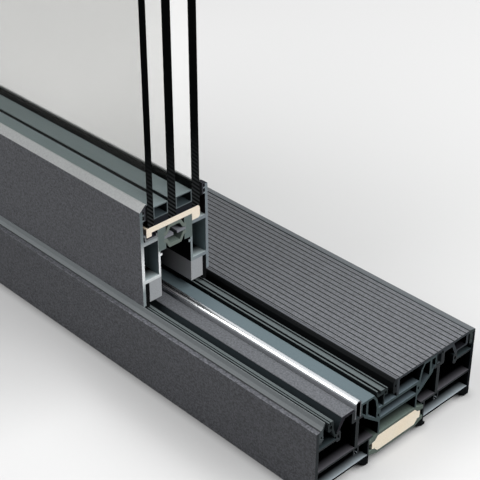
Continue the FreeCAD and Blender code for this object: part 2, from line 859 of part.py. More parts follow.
def base_seals():
    """Black sealing strips under the threshold, level with the floor."""
    wall = size.face_wall
    wide, toe = size.base_seal_width, size.base_seal_toe
    outer = [(wall, 0), (wall + toe, 0), (wall + wide, size.base_height), (wall, size.base_height)]
    for name, side in (("front_base_seal", -1), ("rear_base_seal", 1)):
        at = across(side)
        body = extrusion(name, [(at(u), z) for u, z in outer], size.threshold_length)
        round_edges(body, [(at(wall + toe), 0)], size.edge_rounding)
    face, lift = inner_wall_place, size.inner_wall_lift
    back = face + size.inner_wall
    inner = [
        (back, lift), (back, size.base_height), (back + wide, size.base_height), (back + toe, 0),
        (face, 0), (face, lift),
    ]
    body = extrusion("front_inner_base_seal", [(-b, z) for b, z in inner], size.threshold_length)
    round_edges(body, [(-b, z) for b, z in inner[3:4]], size.edge_rounding)
    bar_under = core_middle - size.bar_end_gap / 2 - size.bar_foot_height
    under = [
        (bar_flat, size.bar_height), (face - size.bar_foot_width, bar_under), (face, bar_under),
        (face, lift), (back, lift), (back + toe, lift), (back + toe, 0), (face, 0),
    ]
    extrusion("rear_inner_base_seal", under, size.threshold_length)


# Places in the sash section: levels above the rail, distances from the sash's middle plane

skin_inside = sash_half - size.skin_wall
hook_tip = skin_inside - size.bead_hook_reach
bead_leg = hook_tip - size.bead_wall
front_face = bead_leg - size.glazing_front
rear_face = bead_leg - size.glazing_rear
web_out = size.channel_half + size.channel_web
socket = size.holder_half_gap + size.thermal_foot

block_level = rail_top + size.block_lift
chamber_base = block_level + size.skirt_height
chamber_top = chamber_base + size.chamber_floor + size.chamber_height + size.chamber_roof
holder_top = chamber_top + size.holder_rise
holder_floor = holder_top - size.holder_height
hook_top = holder_floor - size.hook_height
hook_floor = hook_top - size.hook_height
glass_floor = holder_top + size.block_height
skin_top = glass_floor + size.rebate_height
bead_top = skin_top + size.bead_rise
bead_leg_level = skin_top - size.bead_leg_height
upper_foot_top = holder_top - size.upper_bar_drop
upper_foot_floor = upper_foot_top - size.thermal_wall
lower_bar_floor = holder_floor - size.lower_bar_sag
lower_foot_floor = lower_bar_floor + size.lower_bar_rise
lower_foot_top = lower_foot_floor + size.thermal_wall
fin_floor = (upper_foot_floor + lower_foot_top - size.fin_wall) / 2
fin_top = fin_floor + size.fin_wall


def in_sash(side):
    """Give the function that turns a distance from the sash's middle plane into Y."""
    if side < 0:
        return lambda reach: -track_offset - length(reach)
    return lambda reach: length(reach) - track_offset


# Sash

def sash_profile(name, side, skin_level):
    """Half of the sash: skin, hollow chamber, channel web and the holder of the thermal bars."""
    at = in_sash(side)
    gap = size.holder_half_gap
    high_hook = skin_top - size.bead_hook_drop
    low_hook = bead_leg_level + size.bead_hook
    points = [
        (sash_half, skin_level), (sash_half, skin_top), (skin_inside, skin_top),
        (skin_inside, high_hook), (hook_tip, high_hook), (hook_tip, high_hook - size.bead_hook),
        (skin_inside, high_hook - size.bead_hook), (skin_inside, low_hook), (hook_tip, low_hook),
        (hook_tip, bead_leg_level), (skin_inside, bead_leg_level), (skin_inside, chamber_top),
        (web_out, chamber_top), (web_out, holder_top), (gap, holder_top), (gap, upper_foot_top),
        (socket, upper_foot_top), (socket, upper_foot_floor), (gap, upper_foot_floor), (gap, fin_top),
        (gap + size.fin_foot, fin_top), (gap + size.fin_foot, fin_floor), (gap, fin_floor),
        (gap, lower_foot_top), (socket, lower_foot_top), (socket, lower_foot_floor),
        (gap, lower_foot_floor), (gap, holder_floor), (size.channel_half, holder_floor),
        (size.channel_half, hook_top), (size.channel_half - size.hook_reach, hook_top),
        (size.channel_half - size.hook_reach, hook_floor), (size.channel_half, hook_floor),
        (size.channel_half, chamber_base), (skin_inside, chamber_base), (skin_inside, skin_level),
    ]
    chamber_floor = chamber_base + size.chamber_floor
    chamber = box_outline(web_out, skin_inside, chamber_floor, chamber_floor + size.chamber_height)
    body = extrusion(
        name, [(at(a), z) for a, z in points], size.sash_length, [[(at(a), z) for a, z in chamber]]
    )
    bends = [points[0], points[1], points[-1]]
    round_edges(body, [(at(a), z) for a, z in bends], size.edge_rounding)


def thermal_bars():
    """Polyamide bars that join the two halves of the sash."""
    gap, flat, wall = size.holder_half_gap, size.thermal_flat, size.thermal_wall
    upper = [
        (flat, holder_top), (gap, upper_foot_top), (socket, upper_foot_top),
        (socket, upper_foot_floor), (gap - wall / 2, upper_foot_floor), (flat - wall / 2, holder_top - wall),
    ]
    lower = [
        (flat, lower_bar_floor), (gap, lower_foot_floor), (socket, lower_foot_floor),
        (socket, lower_foot_top), (gap - wall / 2, lower_foot_top),
        (flat - wall / 2, lower_bar_floor + wall),
    ]
    for name, half in (("upper_thermal_bar", upper), ("lower_thermal_bar", lower)):
        points = [(-track_offset + a, z) for a, z in half]
        points += [(-track_offset - a, z) for a, z in reversed(half)]
        body = extrusion(name, points, size.sash_length)
        bends = [points[0], points[5], points[6], points[11]]
        round_edges(body, bends, size.thermal_rounding)


def insulation_fins():
    """Plastic fins that reach into the space between the thermal bars."""
    root = size.holder_half_gap + size.fin_foot
    for name, side in (("front_insulation_fin", -1), ("rear_insulation_fin", 1)):
        at = in_sash(side)
        extrusion(name, box_outline(at(size.fin_gap), at(root), fin_floor, fin_top), size.sash_length)


def glazing_block():
    """Block that carries the glass, with a rounded heel on the rear chamber and a foot in front."""
    at = in_sash(1)
    front = at(-front_face - size.block_reach)
    foot_end = front + size.block_foot_width
    foot_level = holder_top - size.block_foot_depth
    heel = at(web_out + size.fit_play)
    points = [
        (front, foot_level), (foot_end, foot_level), (foot_end, holder_top), (heel, holder_top),
        (heel, chamber_top), (at(rear_face), chamber_top, size.block_rounding),
        (at(rear_face), glass_floor, size.block_rounding), (front, glass_floor, size.block_edge_rounding),
    ]
    extrusion("glazing_block", points, size.sash_length)


def block_clip():
    """Small plastic clip on the front chamber, round the glazing block's foot."""
    at = in_sash(-1)
    thin = size.clip_wall
    root = web_out + size.fit_play
    outer = skin_inside - size.fit_play
    bend = front_face + size.block_reach + size.fit_play
    points = [
        (root, chamber_top), (root, chamber_top + size.clip_hook), (root + thin, chamber_top + size.clip_hook),
        (root + thin, chamber_top + size.clip_rise), (bend, chamber_top + size.clip_rise),
        (bend + size.clip_slope, holder_top), (outer, holder_top), (outer, holder_top - thin),
        (bend + size.clip_slope + thin, holder_top - thin), (bend + thin, chamber_top),
    ]
    extrusion("block_clip", [(at(a), z) for a, z in points], size.sash_length)


def glass_unit():
    """Three panes, two hollow spacers and the edge sealant below them."""
    y = -track_offset - front_face
    glass_top = glass_floor + size.glass_height
    backs = []
    for name, thick, cavity in (
        ("front_pane", size.front_glass, size.front_cavity),
        ("middle_pane", size.middle_glass, size.rear_cavity),
        ("rear_pane", size.rear_glass, length(0)),
    ):
        extrusion(name, box_outline(y, y + thick, glass_floor, glass_top), size.sash_length)
        backs.append(y + thick)
        y = y + thick + cavity
    wall = size.spacer_wall
    spacer_floor = glass_floor + size.sealant_height
    spacer_top = spacer_floor + size.spacer_height
    for label, start, cavity in (
        ("front", backs[0], size.front_cavity), ("rear", backs[1], size.rear_cavity),
    ):
        end = start + cavity
        outer = box_outline(start, end, spacer_floor, spacer_top)
        inner = box_outline(start + wall, end - wall, spacer_floor + wall, spacer_top - wall)
        extrusion(f"{label}_spacer", outer, size.sash_length, [inner])
        sealant = box_outline(start, end, glass_floor, spacer_floor)
        extrusion(f"{label}_edge_sealant", sealant, size.sash_length)


def beads_and_gaskets():
    """Chamfered glazing beads on the skins, and the gaskets that press on the glass."""
    wall = size.bead_wall
    for label, side, face in (("front", -1, front_face), ("rear", 1, rear_face)):
        at = in_sash(side)
        nose = face + size.bead_nose_gap
        throat = bead_top - wall - (bead_leg - nose)
        bead = [
            (sash_half - size.running_gap, skin_top), (nose + wall, bead_top), (nose, bead_top),
            (nose, bead_top - wall), (bead_leg, throat), (bead_leg, bead_leg_level),
            (hook_tip, bead_leg_level), (hook_tip, skin_top),
        ]
        body = extrusion(f"{label}_glazing_bead", [(at(a), z) for a, z in bead], size.sash_length)
        round_edges(body, [(at(a), z) for a, z in bead[1:3]], size.bead_rounding)
        gasket = [
            (face, bead_leg_level - size.glazing_tail), (bead_leg, bead_leg_level),
            (bead_leg, throat - size.fit_play), (nose, bead_top - wall - size.fit_play),
            (face, bead_top - wall),
        ]
        extrusion(f"{label}_glazing_gasket", [(at(a), z) for a, z in gasket], size.sash_length)


def skirts():
    """Blocks and brush seals below the two sash chambers."""
    brush_inner = skin_inside - size.brush_width
    for label, side in (("front", -1), ("rear", 1)):
        at = in_sash(side)
        block = box_outline(
            at(size.channel_half), at(brush_inner - size.skirt_play), block_level, chamber_base
        )
        extrusion(f"{label}_skirt_block", block, size.sash_length)
        brush = box_outline(
            at(brush_inner), at(skin_inside), gasket_top + size.running_gap, chamber_base
        )
        extrusion(f"{label}_brush_seal", brush, size.sash_length)


def roller_carriages():
    """Two carriages hung on the hooks of the sash channel, each with two grooved wheels on the rail."""
    body = new_body("roller_carriages")
    place = size.sash_length / 2 - size.carriage_inset - size.carriage_length / 2
    outer = size.carriage_width / 2
    inner = outer - size.carriage_plate
    flange = size.channel_half - size.running_gap
    foot_level = rail_top + size.carriage_lift
    axle_level = rail_top + size.running_gap + size.wheel_radius
    rim = size.wheel_radius + size.wheel_flange
    roof = axle_level + rim + size.carriage_plate
    half = [
        (inner, foot_level), (outer, foot_level), (outer, hook_top), (flange, hook_top),
        (flange, lower_bar_floor),
    ]
    section = [(-track_offset + a, z) for a, z in half]
    section += [(-track_offset - a, z) for a, z in reversed(half)]
    section += [(-track_offset - inner, roof), (-track_offset + inner, roof)]
    rim_offset = (size.wheel_width - size.wheel_rim) / 2
    discs = [
        (size.axle_radius, size.carriage_width, length(0)),
        (size.wheel_radius, size.wheel_width, length(0)),
        (rim, size.wheel_rim, rim_offset),
        (rim, size.wheel_rim, -rim_offset),
    ]
    for side in (-1, 1):
        housing = new_sketch(body, "housing")
        outline(housing, section)
        shift(housing, place * side)
        pad(body, housing, size.carriage_length, "Housing")
        for step in (-1, 1):
            axis = place * side + size.wheel_spacing / 2 * step
            for radius, width, offset in discs:
                disc = new_sketch(body, "disc", "XZ_Plane")
                circle(disc, axis, axle_level, radius)
                shift(disc, track_offset + offset)
                pad(body, disc, width, "Disc")


frame_profile("front_frame_profile", -1)
frame_profile("rear_frame_profile", 1)
track_cover()
running_rail()
centre_profile()
foam_bars()
foam_core()
deck_board()
rail_slot_insert()
front_sill_seal()
rear_sill_seal()
rear_edge_seal()
front_track_gasket()
rear_track_gasket()
base_seals()
sash_profile("sash_front_profile", -1, block_level - size.front_skin_drop)
sash_profile("sash_rear_profile", 1, block_level + size.rear_skin_lift)
thermal_bars()
insulation_fins()
glazing_block()
block_clip()
glass_unit()
beads_and_gaskets()
skirts()
roller_carriages()

doc.recompute()
for item in doc.Objects:
    if {"Invalid", "Error"} & set(item.State):
        raise RuntimeError(f"{item.Name} failed: {item.State}")
for body in nodes:
    if body.Shape.isNull() or not body.Shape.isValid() or body.Shape.Volume <= 0:
        raise RuntimeError(f"{body.Label} has no valid shape")

os.makedirs("parts", exist_ok=True)
for body in nodes:
    body.Shape.exportStep(f"parts/{body.Label}.step")
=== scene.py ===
import math

import bpy
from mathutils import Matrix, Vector


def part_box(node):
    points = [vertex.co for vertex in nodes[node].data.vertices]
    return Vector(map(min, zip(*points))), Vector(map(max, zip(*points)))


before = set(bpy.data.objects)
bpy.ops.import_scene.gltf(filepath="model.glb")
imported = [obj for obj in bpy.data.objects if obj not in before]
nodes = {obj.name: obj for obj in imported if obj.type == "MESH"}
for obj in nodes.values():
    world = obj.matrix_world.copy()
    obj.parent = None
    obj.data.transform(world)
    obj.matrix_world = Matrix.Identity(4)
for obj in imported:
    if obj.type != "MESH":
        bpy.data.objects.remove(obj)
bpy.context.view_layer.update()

X, Y, Z = range(3)


def lowest(node):
    """The lowest corner of a CAD node's box, and highest the other."""
    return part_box(node)[0]


def highest(node):
    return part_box(node)[1]


# Where the finishes and the painted light and shade change over, in metres. The three plain heights are
# levels inside the shells, which no box gives.

SILL_END = highest("front_frame_profile").x
SASH_END = highest("sash_front_profile").x
TRACK_MIDDLE = (lowest("running_rail").y + highest("running_rail").y) / 2
SHELL_REAR = highest("rear_frame_profile").y
SHELL_OUTSIDE = SHELL_REAR - 0.0022
SHELL_TOP = highest("rear_frame_profile").z - 0.0008
BASE_PLATE = 0.0089
CORE_SHELF = 0.0235
GROOVE_FLOOR = 0.0425
COVER_TOP = highest("track_cover").z - 0.0005
DECK_TOP = highest("deck_board").z
BRIDGE_TOP = highest("centre_profile").z - 0.0006
RAIL_TOP = highest("running_rail").z
RAIL_SLOT_HALF = 0.0022
LOBES_TOP = highest("front_track_gasket").z
BAND_TOP = highest("rear_track_gasket").z
BAND_REAR = highest("rear_track_gasket").y
SEAL_FOOT = lowest("front_sill_seal").y + 0.0017
CAP_UNDERSIDE = highest("rear_sill_seal").z - 0.0001
SASH_OUTSIDE = TRACK_MIDDLE - lowest("sash_front_profile").y - 0.00025
SASH_TOP = highest("sash_front_profile").z - 0.0003
CHANNEL_HALF = TRACK_MIDDLE - highest("front_skirt_block").y + 0.0005
REBATE_FLOOR = lowest("glazing_block").z
BARS_UNDERSIDE = lowest("lower_thermal_bar").z
SPACER_LID = highest("front_spacer").z - 0.0004

# The powder coats, and what the finishes share

# COAT and DECK_COAT are one powder coat: darker as painted shade on the shells, lighter as painted light on
# tops.
COAT = (69, 70, 74)
DECK_COAT = (88, 90, 94)
SASH_COAT = (80, 81, 85)
SAWN_NORMAL = 0.9
FLOOR_NORMAL = 0.6
DRIFT = 0.05
GLASS_INDEX = 1.5
STRIPE_PITCH = 0.0034


def linear(colour):
    """sRGB 0-255 to the linear values that shaders use."""
    parts = [c / 255 for c in colour]
    return tuple(c / 12.92 if c <= 0.04045 else ((c + 0.055) / 1.055) ** 2.4 for c in parts) + (1.0,)


class Graph:
    """The node tree of a material or of the world, with short calls that add and link nodes."""

    def __init__(self, owner):
        owner.use_nodes = True
        self.tree = owner.node_tree
        self.tree.nodes.clear()

    def add(self, kind, inputs=None, **settings):
        node = self.tree.nodes.new(kind)
        for key, value in settings.items():
            setattr(node, key, value)
        for key, value in (inputs or {}).items():
            self.put(node.inputs[key], value)
        return node

    def put(self, socket, value):
        """Link a socket to another, or set it to a value."""
        if isinstance(value, bpy.types.NodeSocket):
            self.tree.links.new(value, socket)
        elif value is not None:
            socket.default_value = value

    def math(self, operation, a, b=None):
        return self.add("ShaderNodeMath", {0: a, 1: b}, operation=operation).outputs[0]

    def times(self, a, b):
        return self.math("MULTIPLY", a, b)

    def either(self, a, b):
        return self.math("MAXIMUM", a, b)

    def inverse(self, value):
        """1 where a mask is 0, and 0 where it is 1."""
        return self.math("SUBTRACT", 1.0, value)

    def span(self, value, low, high, start=0.0, end=1.0):
        """Map a value from low-high to start-end, held at both ends."""
        return self.add("ShaderNodeMapRange", {0: value, 1: low, 2: high, 3: start, 4: end}).outputs[0]

    def blend(self, factor, a, b):
        """Number a where the factor is 0, and b where it is 1."""
        return self.add("ShaderNodeMix", {0: factor, 2: a, 3: b}, data_type="FLOAT").outputs[0]

    def mix(self, factor, a, b, kind="MIX"):
        """Colour a where the factor is 0, and b where it is 1."""
        inputs = {0: factor, 6: a, 7: b}
        return self.add("ShaderNodeMix", inputs, data_type="RGBA", blend_type=kind).outputs[2]

    def layer(self, factor, a, b):
        """Shader a where the factor is 0, and b where it is 1."""
        return self.add("ShaderNodeMixShader", {0: factor, 1: a, 2: b}).outputs[0]

    def lit(self, colour, level):
        """A colour times a brightness."""
        grey = self.add("ShaderNodeCombineXYZ", {0: level, 1: level, 2: level}).outputs[0]
        return self.mix(1.0, colour, grey, "MULTIPLY")

    def split(self, vector):
        return self.add("ShaderNodeSeparateXYZ", {0: vector}).outputs

    def seen(self):
        """1 for what the eye sees, straight, mirrored or through glass, and 0 for what only lights."""
        rays = self.add("ShaderNodeLightPath").outputs
        straight = self.either(rays["Is Camera Ray"], rays["Is Glossy Ray"])
        return self.either(straight, rays["Is Transmission Ray"])


class Surface(Graph):
    """The node tree of a material, with what it paints by: place, facing, noise and edges."""

    def __init__(self, name):
        self.material = bpy.data.materials.new(name)
        super().__init__(self.material)
        self.coords = self.add("ShaderNodeTexCoord").outputs["Object"]
        self.place = self.split(self.coords)
        self.geometry = self.add("ShaderNodeNewGeometry").outputs
        self.facing = self.split(self.geometry["True Normal"])

    def tone(self, colour):
        """The colour of a tone, or of a function that gives it by place."""
        return colour(self) if callable(colour) else linear(colour)

    def scaled(self, factors):
        return self.add("ShaderNodeMapping", {"Vector": self.coords, "Scale": factors}).outputs[0]

    def noise(self, scale, detail=2.0, roughness=0.5, coords=None):
        inputs = {"Vector": coords or self.coords, "Scale": scale, "Detail": detail, "Roughness": roughness}
        return self.add("ShaderNodeTexNoise", inputs).outputs[0]

    def cells(self, scale):
        return self.add("ShaderNodeTexVoronoi", {"Vector": self.coords, "Scale": scale}).outputs["Distance"]

    def above(self, axis, level):
        """1 where a coordinate is over a level, 0 elsewhere."""
        return self.math("GREATER_THAN", self.place[axis], level)

    def below(self, axis, level):
        return self.math("LESS_THAN", self.place[axis], level)

    def within(self, axis, low, high):
        return self.times(self.above(axis, low), self.below(axis, high))

    def ramp(self, axis, start, end):
        """Rises from 0 at start to 1 at end along an axis."""
        return self.span(self.place[axis], start, end)

    def across(self):
        """Distance to the front or back of the running rail's middle."""
        return self.math("ABSOLUTE", self.math("SUBTRACT", self.place[Y], TRACK_MIDDLE))

    def sawn(self):
        """1 on the faces sawn square across X, 0 elsewhere."""
        return self.math("GREATER_THAN", self.math("ABSOLUTE", self.facing[X]), SAWN_NORMAL)

    def floors(self):
        """1 on the faces that look up, 0 elsewhere."""
        return self.math("GREATER_THAN", self.facing[Z], FLOOR_NORMAL)

    def depth_shade(self, end, reach, deep):
        """1 at the sawn ends of the length, falling to deep at reach inside them; it scales painted shade
        by depth.
        """
        return self.span(self.math("ABSOLUTE", self.place[X]), end - reach, end, deep, 1.0)

    def hollow_shade(self, end, reach):
        """As depth_shade, for the painted shade inside the hollows: it falls fast, and to near black."""
        return self.math("POWER", self.depth_shade(end, reach, deep=0.03), 1.6)

    def edges(self, radius):
        """Near 1 along convex and concave edges, from how far a rounded normal turns."""
        rounded = self.add("ShaderNodeBevel", {"Radius": radius}, samples=4).outputs[0]
        normals = {0: rounded, 1: self.geometry["True Normal"]}
        turn = self.add("ShaderNodeVectorMath", normals, operation="DOT_PRODUCT").outputs["Value"]
        return self.span(turn, 0.99, 0.8)

    def bump(self, height, distance, strength):
        inputs = {"Height": height, "Distance": distance, "Strength": strength}
        return self.add("ShaderNodeBump", inputs).outputs[0]

    def shader(self, colour, roughness, **values):
        node = self.add("ShaderNodeBsdfPrincipled", {"Base Color": colour, "Roughness": roughness})
        for key, value in values.items():
            self.put(node.inputs[key.replace("_", " ")], value)
        return node.outputs[0]

    def finish(self, shader):
        self.add("ShaderNodeOutputMaterial", {"Surface": shader})
        return self.material


# Kinds of material

def saw_marks(graph):
    """Fine lines that the saw leaves on a cut face: bowed bands over a short grain."""
    turn = {"Vector": graph.coords, "Rotation": (math.radians(24), 0, 0)}
    turned = graph.add("ShaderNodeMapping", turn).outputs[0]
    wave = {"Vector": turned, "Scale": 260.0, "Distortion": 1.6, "Detail": 2.0, "Detail Scale": 0.6}
    bands = graph.add("ShaderNodeTexWave", wave, wave_type="BANDS", bands_direction="Y").outputs["Fac"]
    grain = graph.noise(1.0, 2.0, 0.6, graph.scaled((300.0, 2600.0, 700.0)))
    return graph.blend(0.6, bands, grain)


def speckled(graph, colour, scale, amount):
    """A colour with fine speckle and a slow drift in tone, as a share of its brightness."""
    fine = graph.span(graph.noise(scale, 3.0, 0.7), 0.25, 0.75, 1 - amount, 1 + amount)
    slow = graph.span(graph.noise(9.0, 3.0), 0.3, 0.7, -DRIFT, DRIFT)
    return graph.lit(colour, graph.math("ADD", fine, slow))


def sawn_face(graph, tone, marks, depth=0.35):
    """A cut face, lined by the saw."""
    plain = graph.tone(tone)
    return graph.mix(graph.span(marks, 0.3, 0.7), plain, graph.lit(plain, 1 - depth))


def coated_metal(name, coat, cut, inside=None, shown=None, over=None, edge=(122, 124, 128), gloss=0.3,
                 mottle=0.95):
    """Fine-texture powder coat, with bare metal on sawn faces, and tones of painted light and shade in the
    hollows.

    cut and inside are tones, or functions of the graph that give them by place. shown is a function that
    gives 1 where the coat is, with inside everywhere else, and over one that paints on top of the coat.
    """
    graph = Surface(name)
    sawn = graph.sawn()
    marks = saw_marks(graph)
    skin = speckled(graph, linear(coat), 640.0, mottle)
    # Lighter edges: partly worn coat, partly a painted highlight.
    wear_and_highlight = graph.times(graph.edges(0.0004), graph.span(graph.noise(160.0, 3.0), 0.35, 0.62))
    skin = graph.mix(graph.times(wear_and_highlight, 0.35), skin, linear(edge))
    if over:
        skin = over(graph, skin)
    dull = sawn
    if inside:
        hidden = graph.inverse(shown(graph))
        skin = graph.mix(hidden, skin, speckled(graph, graph.tone(inside), 420.0, 0.07))
        dull = graph.either(sawn, hidden)
    bare = sawn_face(graph, cut, marks)
    # Lighter edges on the sawn faces too: a painted highlight.
    bare = graph.mix(graph.times(graph.edges(0.0003), 0.3), bare, linear((118, 122, 125)))
    rough = graph.span(graph.noise(700.0), 0.3, 0.7, 0.48, 0.62)
    height = graph.blend(sawn, graph.noise(2600.0), marks)
    return graph.finish(graph.shader(
        graph.mix(sawn, skin, bare), graph.blend(sawn, rough, 0.5),
        Normal=graph.bump(height, 0.00006, 0.6), Specular_IOR_Level=graph.blend(dull, gloss, 0.0),
    ))


def moulded(name, colour, cut, gloss, speckle=0.06, roughness=0.5):
    """Plastic or rubber: faint streaks along X from the die, fine grain and a sawn end.

    colour and cut are each one tone, or a function of the graph that gives the tone by place, and gloss
    is a number or such a function.
    """
    graph = Surface(name)
    sawn = graph.sawn()
    marks = saw_marks(graph)
    lines = graph.noise(1.0, 3.0, 0.6, graph.scaled((3.0, 1100.0, 1100.0)))
    body = speckled(graph, graph.tone(colour), 900.0, speckle)
    body = graph.mix(graph.span(lines, 0.35, 0.7, 0.0, 0.16), body, graph.lit(body, 0.6))
    end = sawn_face(graph, cut, marks, 0.25)
    rough = graph.span(lines, 0.2, 0.8, roughness - 0.08, roughness + 0.08)
    height = graph.blend(sawn, graph.noise(1800.0, 3.0), marks)
    shine = gloss(graph) if callable(gloss) else gloss
    return graph.finish(graph.shader(
        graph.mix(sawn, body, end), rough,
        Normal=graph.bump(height, 0.00004, 0.6), Specular_IOR_Level=graph.blend(sawn, shine, 0.0),
    ))


def rubber(name, colour, cut, gloss=0.2, speckle=0.1):
    """A seal or gasket, moulded."""
    return moulded(name, colour, cut, gloss, speckle)


def foam(name, colour, rim):
    """Fine-cell foam: shallow cells on the sawn face, a smoother moulded skin elsewhere."""
    graph = Surface(name)
    sawn = graph.sawn()
    cells = graph.cells(1300.0)
    pits = linear([c * 0.86 for c in colour])
    body = graph.mix(graph.span(cells, 0.1, 0.7, 0.0, 0.4), linear(colour), pits)
    red, green, blue = colour
    stain = linear((red * 0.97, green * 0.94, blue * 0.88))
    body = graph.mix(graph.span(graph.noise(60.0, 4.0), 0.35, 0.7, 0.0, 0.35), body, stain)
    # The sawn face lightens to the skin's tone along its edges: partly the skin, partly a painted
    # highlight.
    body = graph.mix(graph.times(graph.edges(0.0009), 0.6), body, linear(rim))
    worn = linear([c * 0.9 for c in rim])
    skin = graph.mix(graph.span(graph.noise(900.0), 0.3, 0.7, 0.0, 0.3), linear(rim), worn)
    height = graph.times(graph.inverse(cells), sawn)
    return graph.finish(graph.shader(
        graph.mix(sawn, skin, body), 0.85, Normal=graph.bump(height, 0.0002, 0.5), Specular_IOR_Level=0.2,
    ))


def drawn_steel(name):
    """Bright stainless strip with fine lines along X, a painted darker reflection behind the crown, painted
    light on the lower flanks and painted shade in its slot.
    """
    graph = Surface(name)
    sawn = graph.sawn()
    lines = graph.noise(1.0, 4.0, 0.65, graph.scaled((4.0, 2600.0, 2600.0)))
    smear = graph.noise(1.0, 3.0, 0.6, graph.scaled((22.0, 260.0, 260.0)))
    colour = graph.mix(graph.span(lines, 0.3, 0.75), linear((246, 247, 248)), linear((214, 217, 220)))
    colour = graph.mix(graph.span(smear, 0.45, 0.8, 0.0, 0.3), colour, linear((196, 200, 204)))
    # Painted reflection: the metal turns darker behind the crown.
    behind = graph.ramp(Y, TRACK_MIDDLE - 0.0008, TRACK_MIDDLE + 0.0022)
    colour = graph.mix(graph.times(behind, 0.75), colour, linear((150, 157, 162)))
    # Painted light: the lower flanks are a light grey that is not metal, to lift the narrow gap beside
    # them.
    colour = graph.mix(graph.below(Z, RAIL_TOP - 0.0027), colour, linear((130, 133, 138)))
    # Painted shade: near black in the slot, which also loses its gloss.
    slot = graph.times(graph.math("LESS_THAN", graph.across(), RAIL_SLOT_HALF),
                       graph.below(Z, RAIL_TOP - 0.0008))
    colour = graph.mix(slot, colour, linear((24, 26, 28)))
    end = sawn_face(graph, (88, 91, 95), saw_marks(graph))
    rough = graph.span(lines, 0.2, 0.8, 0.23, 0.29)
    return graph.finish(graph.shader(
        graph.mix(sawn, colour, end), graph.blend(sawn, rough, 0.45),
        Normal=graph.bump(lines, 0.00001, 0.15), Specular_IOR_Level=graph.blend(slot, 0.5, 0.0),
        Metallic=graph.ramp(Z, RAIL_TOP - 0.0033, RAIL_TOP - 0.0023),
    ))


def striped_edge(graph):
    """Edge of a pane, black as painted shade, with grey slanting stripes that fade out above the spacers.
    """
    slant = graph.math("ADD", graph.place[Y], graph.place[Z])
    wave = graph.math("SINE", graph.times(slant, 2 * math.pi / STRIPE_PITCH))
    stripe = graph.times(graph.span(wave, -0.4, 0.6), graph.ramp(Z, 0.2, 0.15))
    dark = graph.mix(stripe, linear((6, 7, 7)), linear((42, 44, 45)))
    return graph.shader(dark, graph.span(wave, -1.0, 1.0, 0.3, 0.5), Specular_IOR_Level=0.0)


def pane(name, tint, shade):
    """Clear float glass that bends the light and throws a soft shade, with a striped sawn edge in black
    painted shade.
    """
    graph = Surface(name)
    dust = graph.span(graph.noise(14.0, 4.0), 0.4, 0.8, 0.0, 0.008)
    bent = {"Color": linear(tint), "Roughness": dust, "IOR": GLASS_INDEX}
    glass = graph.add("ShaderNodeBsdfRefraction", bent).outputs[0]
    mirror = graph.add("ShaderNodeBsdfGlossy", {"Color": (1, 1, 1, 1), "Roughness": dust}).outputs[0]
    fresnel = graph.add("ShaderNodeFresnel", {"IOR": GLASS_INDEX}).outputs[0]
    outward = graph.inverse(graph.geometry["Backfacing"])
    glass = graph.layer(graph.times(graph.times(fresnel, outward), 0.15), glass, mirror)
    clear = graph.add("ShaderNodeBsdfTransparent", {"Color": linear(shade)}).outputs[0]
    rays = graph.add("ShaderNodeLightPath").outputs
    sheet = graph.layer(graph.either(rays["Is Shadow Ray"], rays["Is Diffuse Ray"]), glass, clear)
    rim = graph.math("LESS_THAN", graph.math("ABSOLUTE", graph.facing[Y]), 0.5)
    return graph.finish(graph.layer(rim, sheet, striped_edge(graph)))


# Where the coats show, and the painted light and shade on them and behind them

def outer_face(graph):
    """The outer walls and the tops of the shells."""
    outside = graph.math("GREATER_THAN", graph.math("ABSOLUTE", graph.place[Y]), SHELL_OUTSIDE)
    return graph.either(outside, graph.above(Z, SHELL_TOP))


def cover_face(graph):
    """The top of the cover, without its slopes."""
    return graph.above(Z, COVER_TOP)


def deck_face(graph):
    """The ribbed top, without the faces on it that look to the front, which get the painted shade of the
    underside.
    """
    outward = graph.math("GREATER_THAN", graph.facing[Y], -0.35)
    return graph.times(graph.above(Z, DECK_TOP - 0.002), outward)


def sash_face(graph):
    """The outer skins and the tops of the sash's profiles."""
    outside = graph.math("GREATER_THAN", graph.across(), SASH_OUTSIDE)
    return graph.either(outside, graph.above(Z, SASH_TOP))


def painted_light_on_tops(graph, skin):
    """The coat of the shells, with painted light that makes the edges that look up a little lighter."""
    return graph.mix(graph.floors(), skin, graph.lit(skin, 1.45))


def shade_towards_middle(graph, skin):
    """Coat with painted shade that darkens it towards the middle of the length."""
    return graph.lit(skin, graph.depth_shade(SILL_END, reach=0.26, deep=0.72))


def deck_painted_shade(graph, skin):
    """The deck's coat, with painted shade in the fine grooves and towards the middle of the length."""
    groove = graph.within(Z, DECK_TOP - 0.0005, DECK_TOP - 0.0001)
    return shade_towards_middle(graph, graph.mix(groove, skin, linear((32, 34, 36))))


def shell_inside(graph):
    """Blue-grey base floor, warm grey core shelf and teal groove floor, lit as painted light over dark
    walls and ceilings, and all darkened inwards as painted shade.
    """
    shelf = graph.within(Z, CORE_SHELF, GROOVE_FLOOR)
    floor = graph.mix(shelf, linear((158, 168, 174)), linear((84, 83, 88)))
    floor = graph.mix(graph.above(Z, GROOVE_FLOOR), floor, linear((54, 63, 66)))
    tone = graph.mix(graph.floors(), linear((38, 43, 47)), floor)
    return graph.lit(tone, graph.hollow_shade(SILL_END, reach=0.0078))


def shell_cut(graph):
    """Dull metal, with black painted shade on the base plate."""
    return graph.mix(graph.below(Z, BASE_PLATE), linear((56, 59, 61)), linear((12, 13, 15)))


def rear_shell_cut(graph):
    """As the other shell's, with painted shade that darkens it towards the rear wall."""
    wall = graph.ramp(Y, SHELL_REAR - 0.011, SHELL_REAR - 0.002)
    return graph.mix(wall, shell_cut(graph), linear((25, 27, 30)))


